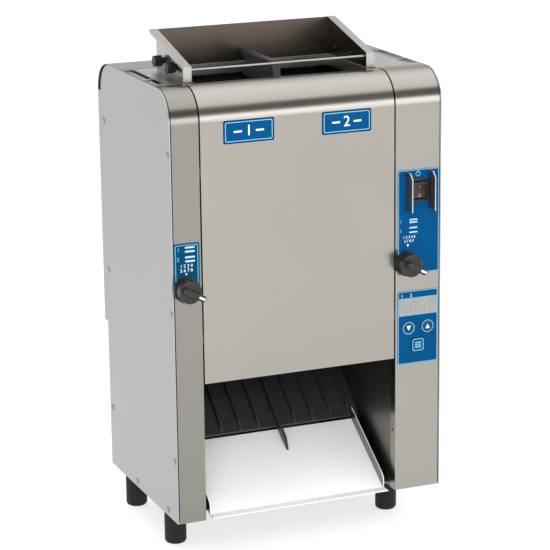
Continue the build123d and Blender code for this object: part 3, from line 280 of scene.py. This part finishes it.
side_steel = brushed("side_steel", STEEL_COOL, 0.36, "z")
front_steel = brushed("front_steel", STEEL_WARM, 0.22, "x", **FOLDED)
top_steel = brushed("top_steel", STEEL_TOP, 0.30, "x")
left_shaded_steel = brushed("left_shaded_steel", STEEL_LEFT_SHADE, 0.22, "x", **FOLDED)
feeder_steel = brushed("feeder_steel", STEEL_FEEDER, 0.30, "y")
feeder_inner_shade = brushed("feeder_inner_shade", STEEL_FEEDER_SHADE, 0.26, "y")
# Painted shade: the landing tray's sideways upstands take a dark steel, standing in for the dark
# walls they mirror
tray_side_shade = brushed("tray_side_shade", STEEL_INNER, 0.30, "y")
wall_steel = brushed("wall_steel", STEEL_INNER, 0.36, "y")
tray_steel = brushed("tray_steel", STEEL_TRAY_GLARE, 0.34, "y", contrast=0.01, metallic=0.2)
screw_steel = cast("screw_steel", SCREW_GREY, 0.34)
guard_highlight_edge = cast("guard_highlight_edge", GUARD_PAINTED_HIGHLIGHT, 0.34, metallic=0.60)
guard_shade_side = cast("guard_shade_side", GUARD_PAINTED_SHADE, 0.30, metallic=0.85)
drum_steel = cast("drum_steel", DRUM_GREY, 0.38, scale=600.0)
platen_metal = cast("platen_metal", PLATEN_GREY, 0.42, scale=350.0, strength=0.3, contrast=0.16)
element_metal = cast("element_metal", ELEMENT_GREY, 0.46, scale=500.0, strength=0.3, contrast=0.2)
chain_metal = cast("chain_metal", CHAIN_GREY, 0.40, scale=700.0, strength=0.3)
bronze = cast("bronze", BRONZE, 0.36, scale=500.0)
blue_film = moulded("blue_film", PLATE_BLUE, 0.38, **FILM)
dark_blue_film = moulded("dark_blue_film", PLATE_EDGE, 0.38, **FILM)
teal_film = moulded("teal_film", PLATE_TEAL, 0.38, **FILM)
key_film = moulded("key_film", KEY_BLUE, 0.36, scale=1800.0, strength=0.05, contrast=0.06,
                   gloss=0.2)
line_film = moulded("line_film", LINE_BLUE, 0.40, **LINE)
teal_line = moulded("teal_line", LINE_TEAL, 0.40, **LINE)
pale_print = moulded("pale_print", PRINT_PALE, 0.42, **INK)
grey_print = moulded("grey_print", PRINT_GREY, 0.42, **INK)
white_print = moulded("white_print", PRINT_WHITE, 0.42, **INK)
display_pane = moulded("display_pane", PANE_GREY, 0.26, **PANE)
segment_grey = moulded("segment_grey", SEGMENT_GREY, 0.28, **PANE)
black_plastic = moulded("black_plastic", PLASTIC_BLACK, 0.30, scale=700.0, strength=0.12,
                        gloss=0.45)
rocker_plastic = moulded("rocker_plastic", ROCKER_BLACK, 0.30, scale=700.0, strength=0.10)
black_coat = moulded("black_coat", COAT_BLACK, 0.30, scale=800.0, strength=0.05, contrast=0.03)
rubber = moulded("rubber", RUBBER_BLACK, 0.62, scale=550.0, strength=0.25, gloss=0.3)
board_green = moulded("board_green", BOARD_GREEN, 0.40, scale=500.0, strength=0.2)
belt_fabric = moulded("belt_fabric", BELT_BROWN, 0.62, scale=600.0, strength=0.35, contrast=0.2)
release_cloth = moulded("release_cloth", CLOTH_BROWN, 0.48, strength=0.30, contrast=0.1)
motor_paint = moulded("motor_paint", MOTOR_GREY, 0.45, scale=450.0, strength=0.25)

slot_materials = {
    "side_steel": side_steel, "front_steel": front_steel, "top_steel": top_steel,
    "inner_steel": wall_steel, "screw_steel": screw_steel, "blue_panel": blue_film,
    "black_plastic": black_plastic, "key_plastic": key_film, "display_plastic": display_pane,
    "board": board_green, "rubber": rubber, "black_coat": black_coat, "drum": drum_steel,
    "belt": belt_fabric, "platen": platen_metal, "element": element_metal,
    "release_cloth": release_cloth, "chain": chain_metal, "bronze": bronze,
    "motor_paint": motor_paint,
}
node_materials = {
    "feeder_frame": feeder_steel, "feeder_rod": feeder_steel, "landing_tray": tray_steel,
    "switch_guard": guard_shade_side, "power_rocker": rocker_plastic, "left_dial_plate": teal_film,
    "left_column": left_shaded_steel, "cover_marker_plates": dark_blue_film,
    "rear_cover": side_steel, "rear_panel": side_steel, "base_pan": side_steel,
    "feeder_screw_front_left": black_plastic, "feeder_screw_front_right": black_plastic,
    "feeder_screw_rear_left": black_plastic, "feeder_screw_rear_right": black_plastic,
}
for name, node in nodes.items():
    slot_name = node.data.materials[0].name.split(".")[0]
    node.data.materials.clear()
    node.data.materials.append(node_materials.get(name, slot_materials.get(slot_name)))


def add_mesh(name, mesh, material, body):
    """A new piece of the object, in its material, riding on a body."""
    mesh.materials.append(material)
    piece = bpy.data.objects.new(name, mesh)
    scene.collection.objects.link(piece)
    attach(piece, body)
    return piece


def band(work, first, second):
    """A band of faces between two closed rims of points."""
    for index in range(len(first)):
        after = (index + 1) % len(first)
        work.faces.new((first[index], first[after], second[after], second[index]))


def printed(name, outline, plane, material, body, hole=None, rise=PRINT_RISE):
    """A flat print: an outline in the plane's X and Y, raised along its normal."""
    work = bmesh.new()
    lift = (plane.to_3x3() @ Vector((0.0, 0.0, 1.0))) * rise

    def rim(points, offset):
        return [work.verts.new(plane @ Vector((x, y, 0.0)) + offset) for x, y in points]

    outer_low, outer_high = rim(outline, Vector()), rim(outline, lift)
    band(work, outer_low, outer_high)
    if hole:
        inner_low, inner_high = rim(hole, Vector()), rim(hole, lift)
        band(work, inner_low, inner_high)
        band(work, outer_low, inner_low)
        band(work, outer_high, inner_high)
    else:
        work.faces.new(outer_low)
        work.faces.new(outer_high)
    bmesh.ops.recalc_face_normals(work, faces=work.faces)
    mesh = bpy.data.meshes.new(name)
    work.to_mesh(mesh)
    work.free()
    add_mesh(name, mesh, material, body)


def rounded_outline(width, height, radius, steps=6):
    """The points of a rectangle with rounded corners, about its centre."""
    points = []
    for corner, (side_x, side_y) in enumerate(((1, 1), (-1, 1), (-1, -1), (1, -1))):
        centre_x = side_x * (width / 2 - radius)
        centre_y = side_y * (height / 2 - radius)
        for step in range(steps + 1):
            angle = radians(90) * (corner + step / steps)
            points.append((centre_x + radius * cos(angle), centre_y + radius * sin(angle)))
    return points


def ring_outline(radius, steps=40):
    """The points of a circle."""
    angles = [2 * pi * step / steps for step in range(steps)]
    return [(radius * cos(angle), radius * sin(angle)) for angle in angles]


def front_plane(x, y, z):
    """A plane that faces the front, with X to its right and Z up."""
    return Matrix.Translation((x, y, z)) @ Matrix.Rotation(radians(90), 4, "X")


def numerals(name, text, size, plane, material, body):
    """Raised numerals, centred on a plane."""
    curve = bpy.data.curves.new(name, "FONT")
    curve.body = text
    curve.size = size
    curve.align_x = "CENTER"
    curve.align_y = "CENTER"
    curve.extrude = PRINT_RISE / 2
    curve.resolution_u = 4
    source = bpy.data.objects.new(name + "_curve", curve)
    scene.collection.objects.link(source)
    evaluated = source.evaluated_get(bpy.context.evaluated_depsgraph_get())
    mesh = bpy.data.meshes.new_from_object(evaluated)
    bpy.data.objects.remove(source)
    mesh.transform(plane @ Matrix.Translation((0.0, 0.0, PRINT_RISE / 2)))
    mesh.materials.clear()
    mesh.name = name
    add_mesh(name, mesh, material, body)


def shade_faces_copy(node_name, body, first, second, takes_shade):
    """A copy of a sheet piece, some of whose faces take a second material as painted shade."""
    mesh = nodes[node_name].data.copy()
    mesh.name = node_name + "_sheet"
    mesh.materials.clear()
    piece = add_mesh(mesh.name, mesh, first, body)
    mesh.materials.append(second)
    for face in mesh.polygons:
        face.material_index = 1 if takes_shade(face) else 0
    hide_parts(node_name)


def centre(box):
    """The middle of a box on each axis."""
    low, high = box
    return [(low[axis] + high[axis]) / 2 for axis in range(3)]


feeder_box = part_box("feeder_frame")
feeder_middle = centre(feeder_box)[0]
feeder_back = feeder_box[0][1] + BACK_PLATE_START


def looks_sideways(face):
    """Faces that look left or right, such as the tray's upstands and the guard's ears, which take
    painted shade.
    """
    return abs(face.normal.x) > SQUARE_ON


def feeder_shade_faces(face):
    """The faces between the feeder's side plates that take painted shade: their inner sides and
    the back plate's front.
    """
    if looks_sideways(face):
        return face.normal.x * (face.center.x - feeder_middle) < 0.0
    return face.normal.y < TURNED_FORWARD and face.center.y > feeder_back


# Painted shade on the feeder's inner faces, the tray's upstands and the guard's ears; painted
# highlight on the guard's other faces
shade_faces_copy("feeder_frame", "feeder", feeder_steel, feeder_inner_shade, feeder_shade_faces)
shade_faces_copy("landing_tray", "landing_tray", tray_steel, tray_side_shade, looks_sideways)
shade_faces_copy("switch_guard", "housing", guard_highlight_edge, guard_shade_side, looks_sideways)

# Boxes and middles of the pieces that carry prints
upper_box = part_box("upper_control_plate")
lower_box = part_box("lower_control_plate")
marker_low, marker_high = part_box("cover_marker_plates")
window_low, window_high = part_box("display_window")
switch_x, _, switch_z = centre(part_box("power_switch"))
knob_x, _, knob_z = centre(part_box("crown_cam_shaft"))
dial_x = centre(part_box("heel_cam_shaft"))[0]
plate_y = upper_box[0][1]


def border(name, box, inset, width, radius=0.0022, material=line_film, body="housing"):
    """A printed line round a plate."""
    low, high = box
    x, _, z = centre(box)
    size_x = high[0] - low[0] - 2 * inset
    size_z = high[2] - low[2] - 2 * inset
    printed(name, rounded_outline(size_x, size_z, radius), front_plane(x, plate_y, z), material,
            body, hole=rounded_outline(size_x - 2 * width, size_z - 2 * width, radius - width / 2))


def triangle(name, size, plane, direction, body):
    """A small printed triangle that points up or down."""
    foot = -direction * size / 2
    printed(name, [(-size / 2, foot), (size / 2, foot), (0.0, -foot)], plane, white_print, body)


def dial_prints(dial, x, bar_size, bars, rows, mark):
    """A dial's bars, numerals and the mark over its pointer, placed from the knob's axis."""
    bar_width, bar_height = bar_size
    for index, (bar_x, lift) in enumerate(bars):
        printed(f"{dial}_bar_{index + 1}",
                rounded_outline(bar_width, bar_height, bar_height * BAR_ROUNDING, FINE_CORNER),
                front_plane(x + bar_x, plate_y, knob_z + lift), pale_print, "housing")
    for name, text, size, row_x, lift, material in rows:
        numerals(f"{dial}_{name}", text, size, front_plane(x + row_x, plate_y, knob_z + lift),
                 material, "housing")
    size, mark_x, lift = mark
    triangle(f"{dial}_pointer_mark", size, front_plane(x + mark_x, plate_y, knob_z + lift), -1,
             "housing")


# Marker plates on the cover: line, field, a plain numeral and a bar at each side of it
marker_z = (marker_low[2] + marker_high[2]) / 2
marker_places = (marker_low[0] + MARKER_WIDTH / 2, marker_high[0] - MARKER_WIDTH / 2)
for number, x in zip("12", marker_places):
    low = (x - MARKER_WIDTH / 2, plate_y, marker_low[2])
    high = (x + MARKER_WIDTH / 2, plate_y, marker_high[2])
    border("marker_line_" + number, (low, high), inset=0.0022, width=0.0011, body="front_cover")
    printed("marker_field_" + number, rounded_outline(*MARKER_FIELD),
            front_plane(x, plate_y, marker_z), blue_film, "front_cover", rise=FIELD_RISE)
    numerals("marker_numeral_" + number, number, MARKER_NUMERAL,
             front_plane(x, plate_y - PRINT_RISE, marker_z), white_print, "front_cover")
    for side, bar_x in (("left", x - MARKER_BAR_X), ("right", x + MARKER_BAR_X)):
        printed(f"marker_bar_{number}_{side}", rounded_outline(*MARKER_BAR, FINE_CORNER),
                front_plane(bar_x, plate_y - FIELD_RISE, marker_z), white_print, "front_cover")

# Upper plate: line, power sign and dial
border("upper_plate_line", upper_box, inset=0.0004, width=0.0009)
power_z = upper_box[1][2] - POWER_DROP
printed("power_sign_ring", ring_outline(POWER_RING[0]), front_plane(switch_x, plate_y, power_z),
        line_film, "housing", hole=ring_outline(POWER_RING[1]))
printed("power_sign_stroke", rounded_outline(*POWER_STROKE, FINE_CORNER),
        front_plane(switch_x, plate_y - PRINT_RISE, power_z + POWER_LIFT), line_film, "housing")
dial_prints("upper", knob_x, bar_size=(0.0115, 0.0019),
            bars=[(0.0098, lift) for lift in (0.0561, 0.0527, 0.0456, 0.0397)],
            rows=(("numeral_1", "1", 0.0062, -0.0080, 0.0545, line_film),
                  ("numeral_2", "2", 0.0062, -0.0086, 0.0423, line_film),
                  ("row_1", "1 2 3 4 5", 0.0048, 0.0040, 0.0335, white_print),
                  ("row_2", "6 7 8 9", 0.0046, 0.0036, 0.0284, white_print)),
            mark=(0.0034, 0.0020, 0.0226))

# Left plate: line and dial
border("left_plate_line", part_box("left_dial_plate"), inset=0.0018, width=0.0012,
       material=teal_line)
dial_prints("left", dial_x, bar_size=(0.0130, 0.0024),
            bars=[(0.0064, lift) for lift in (0.0525, 0.0475, 0.0403, 0.0352)],
            rows=(("numeral_1", "1", 0.0070, -0.0086, 0.0500, line_film),
                  ("numeral_2", "2", 0.0070, -0.0092, 0.0381, line_film),
                  ("row_1", "1 2 3 4", 0.0058, 0.0016, 0.0293, white_print),
                  ("row_2", "5 6 7 8", 0.0058, 0.0016, 0.0236, white_print)),
            mark=(0.0026, 0.0013, 0.0187))

# Lower plate: line, numerals, and the line round the window
border("lower_plate_line", lower_box, inset=0.0004, width=0.0009)
numeral_z = lower_box[1][2] - LOWER_NUMERAL_DROP
for number, numeral_x in zip("12", LOWER_NUMERAL_PLACES):
    numerals("lower_numeral_" + number, number, LOWER_NUMERAL,
             front_plane(lower_box[0][0] + numeral_x, plate_y, numeral_z), white_print, "housing")
border("display_line", (window_low, window_high), inset=-0.0010, width=0.0008, radius=0.0012)

# Display: blank digits of seven faint bars
across = [(0.0, side * DIGIT_HEIGHT / 2, DIGIT_WIDTH, SEGMENT_WIDTH) for side in (-1, 0, 1)]
upright = [(side * DIGIT_WIDTH / 2, row * DIGIT_HEIGHT / 4, SEGMENT_WIDTH,
            DIGIT_HEIGHT / 2 - SEGMENT_WIDTH) for side in (-1, 1) for row in (-1, 1)]
window_width = window_high[0] - window_low[0]
window_z = (window_low[2] + window_high[2]) / 2
for place in range(DISPLAY_DIGITS):
    digit_x = window_low[0] + window_width * (place + 0.5) / DISPLAY_DIGITS
    digit_plane = front_plane(digit_x, window_low[1], window_z)
    for index, (dx, dz, size_x, size_z) in enumerate(across + upright):
        printed(f"display_digit_{place + 1}_{index + 1}",
                rounded_outline(size_x * SEGMENT_SHARE, size_z * SEGMENT_SHARE,
                                SEGMENT_WIDTH * SEGMENT_ROUNDING, TINY_CORNER),
                digit_plane @ Matrix.Translation((dx, dz, 0.0)), segment_grey, "housing")

# Keys: a ring and a triangle on two, and a line and nine squares on the program key
for key, direction in (("down_key", -1), ("up_key", 1)):
    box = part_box(key)
    x, _, z = centre(box)
    key_plane = front_plane(x, box[0][1], z)
    printed(key + "_ring", ring_outline(KEY_RING[0]), key_plane, line_film, key,
            hole=ring_outline(KEY_RING[1]))
    triangle(key + "_sign", KEY_SIGN, key_plane, direction, key)
low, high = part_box("program_key")
key_x, _, key_z = centre((low, high))
outer_size, inner_size = (high[0] - low[0] - margin for margin in PROGRAM_LINE_MARGINS)
printed("program_key_ring", rounded_outline(outer_size, outer_size, PROGRAM_LINE_RADII[0]),
        front_plane(key_x, low[1], key_z), line_film, "program_key",
        hole=rounded_outline(inner_size, inner_size, PROGRAM_LINE_RADII[1]))
for row in range(3):
    for column in range(3):
        printed(f"program_key_square_{row + 1}{column + 1}",
                rounded_outline(*PROGRAM_SQUARE, TINY_CORNER),
                front_plane(key_x + (column - 1) * PROGRAM_PITCH, low[1],
                            key_z + (row - 1) * PROGRAM_PITCH),
                line_film, "program_key")

# Knobs: the white line on each pointer
for knob, body, x in (("crown", "crown_adjuster", knob_x), ("heel", "heel_adjuster", dial_x)):
    low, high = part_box(knob + "_knob")
    pointer_plane = (front_plane(x, low[1], knob_z)
                     @ Matrix.Rotation(radians(POINTER_ANGLE), 4, "Z")
                     @ Matrix.Translation((POINTER_LINE_X, 0.0, 0.0)))
    printed(knob + "_pointer_line", rounded_outline(*POINTER_LINE, FINE_CORNER), pointer_plane,
            white_print, body)

# Rocker: a stroke on its upper face and a ring on its lower face
for name, outline, hole, (y, lift, lean) in (
        ("rocker_stroke", rounded_outline(*ROCKER_STROKE, FINE_CORNER), None, ROCKER_STROKE_PLACE),
        ("rocker_ring", ring_outline(ROCKER_RING[0]), ring_outline(ROCKER_RING[1]),
         ROCKER_RING_PLACE)):
    rocker_plane = (Matrix.Translation((switch_x + ROCKER_SHIFT, y, switch_z + lift))
                    @ Matrix.Rotation(radians(lean), 4, "X"))
    printed(name, outline, rocker_plane, grey_print, "power_rocker", hole=hole)

# Floor: grey to the lamps, white to the camera and in mirrors, with the object's shadow
floor_mesh = bpy.data.meshes.new("floor")
floor_work = bmesh.new()
bmesh.ops.create_grid(floor_work, x_segments=1, y_segments=1, size=FLOOR_SIZE / 2)
floor_work.to_mesh(floor_mesh)
floor_work.free()
floor = bpy.data.objects.new("floor", floor_mesh)
scene.collection.objects.link(floor)
floor_material, tree, shader = shader_tree("floor_white")
shader.inputs["Base Color"].default_value = (FLOOR_TONE, FLOOR_TONE, FLOOR_TONE, 1.0)
shader.inputs["Roughness"].default_value = FLOOR_ROUGHNESS
shader.inputs["Specular IOR Level"].default_value = 0.0
path = tree.nodes.new("ShaderNodeLightPath")
seen = maths(tree, "MAXIMUM", path.outputs["Is Camera Ray"], path.outputs["Is Glossy Ray"])
seen = maths(tree, "MAXIMUM", seen, path.outputs["Is Transmission Ray"])
glow = tree.nodes.new("ShaderNodeEmission")
tree.links.new(maths(tree, "MULTIPLY", seen, FLOOR_GLOW), glow.inputs["Strength"])
both = tree.nodes.new("ShaderNodeAddShader")
tree.links.new(shader.outputs["BSDF"], both.inputs[0])
tree.links.new(glow.outputs["Emission"], both.inputs[1])
tree.links.new(both.outputs["Shader"], tree.nodes["Material Output"].inputs["Surface"])
floor_mesh.materials.append(floor_material)

# Sky: a ramp by elevation in front and one behind, brightest near the horizon in front
world = bpy.data.worlds.new("studio")
world.use_nodes = True
scene.world = world
tree = world.node_tree
direction = tree.nodes.new("ShaderNodeTexCoord")
split = tree.nodes.new("ShaderNodeSeparateXYZ")
tree.links.new(direction.outputs["Generated"], split.inputs["Vector"])
elevation = spread(tree, maths(tree, "ARCSINE", split.outputs["Z"]), 0.0, 1.0, -pi / 2, pi / 2)


def sky(stops):
    """Brightness by elevation in degrees, as a ramp."""
    ramp = tree.nodes.new("ShaderNodeValToRGB")
    elements = ramp.color_ramp.elements
    while len(elements) < len(stops):
        elements.new(0.5)
    for element, (degrees_up, tone) in zip(elements, stops):
        element.position = (degrees_up + 90.0) / 180.0
        element.color = (tone, tone, tone, 1.0)
    tree.links.new(elevation, ramp.inputs["Fac"])
    return ramp.outputs["Color"]


front_sky = sky([(-90, 0.34), (-8, 0.34), (-4, 1.0), (8, 1.0), (12.5, 0.060), (35, 0.060),
                 (41, 0.50), (75, 0.61), (90, 0.61)])
back_sky = sky([(-90, 0.34), (8, 0.34), (11, 0.18), (18, 0.155), (35, 0.31), (60, 0.61),
                (90, 0.61)])
mix = tree.nodes.new("ShaderNodeMix")
mix.data_type = "RGBA"
tree.links.new(spread(tree, split.outputs["Y"], 1.0, 0.0, -SKY_SEAM, SKY_SEAM),
               mix.inputs["Factor"])
tree.links.new(back_sky, mix.inputs["A"])
tree.links.new(front_sky, mix.inputs["B"])
scaled = tree.nodes.new("ShaderNodeVectorMath")
scaled.operation = "SCALE"
scaled.inputs["Scale"].default_value = SKY_SCALE
tree.links.new(mix.outputs["Result"], scaled.inputs[0])
tree.links.new(scaled.outputs["Vector"], tree.nodes["Background"].inputs["Color"])

# Lamp, high in front on the left
key_data = bpy.data.lights.new("key", "AREA")
key_data.shape = "RECTANGLE"
key_data.size, key_data.size_y = KEY_SIZE
key_data.energy = KEY_WATTS
key_lamp = bpy.data.objects.new("key", key_data)
scene.collection.objects.link(key_lamp)
key_lamp.location = KEY_PLACE
aim = Vector(KEY_TARGET) - key_lamp.location
key_lamp.rotation_euler = aim.to_track_quat("-Z", "Y").to_euler()
key_lamp.visible_glossy = False

# Camera
camera_data = bpy.data.cameras.new("camera")
camera_data.sensor_width = CAMERA_SENSOR
camera_data.lens = CAMERA_LENS
camera = bpy.data.objects.new("camera", camera_data)
scene.collection.objects.link(camera)
ahead = Vector((sin(CAMERA_YAW) * cos(CAMERA_PITCH), cos(CAMERA_YAW) * cos(CAMERA_PITCH),
                -sin(CAMERA_PITCH)))
level = Vector((cos(CAMERA_YAW), -sin(CAMERA_YAW), 0.0))
upward = level.cross(ahead)
right = cos(CAMERA_ROLL) * level + sin(CAMERA_ROLL) * upward
up = cos(CAMERA_ROLL) * upward - sin(CAMERA_ROLL) * level
turn = Matrix((right, up, -ahead)).transposed().to_4x4()
camera.matrix_world = Matrix.Translation(CAMERA_PLACE) @ turn
scene.camera = camera
scene.view_settings.view_transform = "Standard"
